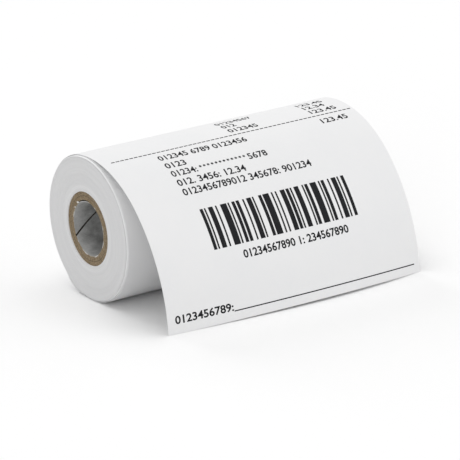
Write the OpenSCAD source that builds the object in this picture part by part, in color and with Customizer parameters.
// Till roll of thermal paper on a spiral-wound cardboard core, its printed end
// drawn off over the front and standing on the table.
// Millimetres. The roll lies along X, Z is up, the printed end falls towards -Y,
// and the origin is the middle of the core's bore.

/* [Paper] */
// Width of the paper web, and so of the wound roll
web_w = 79.5; // [50:0.5:120]
// Outside diameter of the roll
roll_d = 40; // [34:0.5:80]
// Thickness of the paper, a heavy thermal grade
paper_t = 0.08; // [0.05:0.01:0.2]
// How far the outermost turns have drifted along the roll towards its right end
turn_drift = 0.5; // [0.3:0.1:2]
// Width of the flat where the slack outer turn lies on the table
flat_w = 5; // [2:0.5:8]

/* [Core] */
// Diameter of the core's bore
core_bore_d = 15; // [10:0.5:18]
// Thickness of the grey paper ply that lines the bore
liner_t = 0.2; // [0.15:0.05:0.8]
// Thickness of each of the two brown board plies round it
board_t = 1.2; // [0.5:0.1:1.5]
// How far each end of the core sits back from the roll's end face
core_recess = 0.3; // [0:0.1:2]
// Open gap where the edges of the liner meet, measured round the core
liner_gap = 0.5; // [0.2:0.1:1]
// The same gap in each board ply, wound with its edges nearly touching
board_gap = 0.2; // [0.1:0.05:1]
// Length of core in which a seam goes once round
seam_pitch = 66; // [40:1:120]
// Where the liner's seam meets the left end, up from the back of the bore
liner_seam_deg = -28; // [-180:1:180]
// Turn from one ply's seam to the seam of the ply outside it
seam_step_deg = 130; // [60:5:170]

/* [Printed end] */
// How far behind the top of the roll the web leaves it
leave_deg = 6.5; // [0:0.5:12]
// Outside radius of the upper bend, where the web comes off the roll
upper_bend_r = 32.5; // [26:0.5:60]
// Turn of the upper bend
upper_bend_deg = 50; // [35:1:60]
// Outside radius of the lower bend, which ends on the table
lower_bend_r = 44; // [36:0.5:90]

/* [Fits] */
// Running gap between the wound roll and the outer turn where it lies on the table
turn_gap = 0.05; // [0.02:0.01:0.1]
// Gap at the crease between the outer turn and the printed end
crease_gap = 0.05; // [0.02:0.01:0.2]

/* [Hidden] */

$fn = 96;
overcut = 0.2;
seam_slices = 60;

roll_r = roll_d / 2;
bore_r = core_bore_d / 2;
liner_r = bore_r + liner_t;
inner_board_r = liner_r + board_t;
core_r = inner_board_r + board_t;
core_len = web_w - 2 * core_recess;
table_z = -sqrt(pow(roll_r, 2) - pow(flat_w / 2, 2));
winding_r = -table_z - paper_t - turn_gap;

// Angles in the section run from +Y, the back, up over the top to the front.
crease_deg = 90 - leave_deg;
upper_end_deg = crease_deg + upper_bend_deg;
lower_centre_z = (roll_r - upper_bend_r) * sin(crease_deg)
    + (upper_bend_r - lower_bend_r) * sin(upper_end_deg);
// The lower bend turns until the web's outer face is down at the table.
lower_bend_deg = 180 - asin((table_z - lower_centre_z) / lower_bend_r) - upper_end_deg;
// The turn below is left open for as long as the web on top of it is closer than a sheet.
tuck_len = sqrt(2 * (paper_t + turn_gap) / (1 / roll_r - 1 / upper_bend_r));
tuck_deg = tuck_len / roll_r * 180 / PI;
crease_gap_deg = crease_gap / upper_bend_r * 180 / PI;

// Puts a drawing of the roll's section, with its height along the roll, into the frame.
module along_roll() {
    rotate([90, 0, 90])
        children();
}

// One ply of the core: a strip wound round it, with a helical gap where its edges meet.
module core_ply(inner_r, outer_r, seam_deg, seam_gap) {
    seam_deep = outer_r - inner_r + 2 * overcut;
    along_roll()
        translate([0, 0, -core_len / 2])
            difference() {
                cylinder(h = core_len, r = outer_r);
                translate([0, 0, -overcut])
                    cylinder(h = core_len + 2 * overcut, r = inner_r);
                rotate([0, 0, seam_deg])
                    linear_extrude(height = core_len, twist = -360 * core_len / seam_pitch,
                                   slices = seam_slices, segments = 4)
                        translate([inner_r - overcut, -seam_gap / 2])
                            square([seam_deep, seam_gap]);
            }
}

// Puts a drawing made at the crease, with its X out of the roll, into the roll's section.
module at_crease() {
    along_roll()
        rotate([0, 0, crease_deg])
            translate([roll_r, 0])
                children();
}

// A stretch of the web that starts with its outer face at the origin and bends away from it,
// shifted with the outer turns.
module bent_web(outer_r, turn_deg) {
    translate([-outer_r, 0])
        rotate_extrude(angle = turn_deg)
            translate([outer_r - paper_t, turn_drift - web_w / 2])
                square([paper_t, web_w]);
}

module core_liner_ply() {
    color("slategray")
        core_ply(bore_r, liner_r, liner_seam_deg, liner_gap);
}

module core_inner_board_ply() {
    color("tan")
        core_ply(liner_r, inner_board_r, liner_seam_deg + seam_step_deg, board_gap);
}

module core_outer_board_ply() {
    color("burlywood")
        core_ply(inner_board_r, core_r, liner_seam_deg + 2 * seam_step_deg, board_gap);
}

// All the turns under the outermost one. The last of them drift to the right,
// which rounds the left rim.
module paper_winding() {
    color("whitesmoke")
        along_roll()
            rotate_extrude()
                difference() {
                    translate([core_r, -web_w / 2])
                        square([winding_r - core_r, web_w]);
                    translate([winding_r - turn_drift, -web_w / 2])
                        difference() {
                            translate([0, -overcut])
                                square([turn_drift + overcut, turn_drift + overcut]);
                            translate([0, turn_drift])
                                circle(r = turn_drift);
                        }
                }
}

// A disc with a flat at its foot.
module flat_footed_disc(r, foot_z) {
    difference() {
        circle(r = r);
        translate([-r, foot_z - r])
            square([2 * r, r]);
    }
}

// The outermost turn, from the crease back round the roll, flat along the table,
// and up the front until it tucks in under the printed end.
module outer_turn() {
    tuck_reach = 2 * roll_r;
    color("white")
        along_roll()
            translate([0, 0, turn_drift - web_w / 2])
                linear_extrude(height = web_w)
                    difference() {
                        flat_footed_disc(roll_r, table_z);
                        flat_footed_disc(roll_r - paper_t, table_z + paper_t);
                        rotate([0, 0, crease_deg])
                            polygon([[0, 0], [tuck_reach, 0],
                                     tuck_reach * [cos(tuck_deg), sin(tuck_deg)]]);
                    }
}

// The web from the crease over the front and down to the table, drawn both ways
// from where its two bends meet.
module printed_end() {
    color("ghostwhite")
        at_crease()
            translate([-upper_bend_r, 0])
                rotate([0, 0, upper_bend_deg])
                    translate([upper_bend_r, 0]) {
                        bent_web(upper_bend_r, crease_gap_deg - upper_bend_deg);
                        bent_web(lower_bend_r, lower_bend_deg);
                    }
}

core_liner_ply();
core_inner_board_ply();
core_outer_board_ply();
paper_winding();
outer_turn();
printed_end();
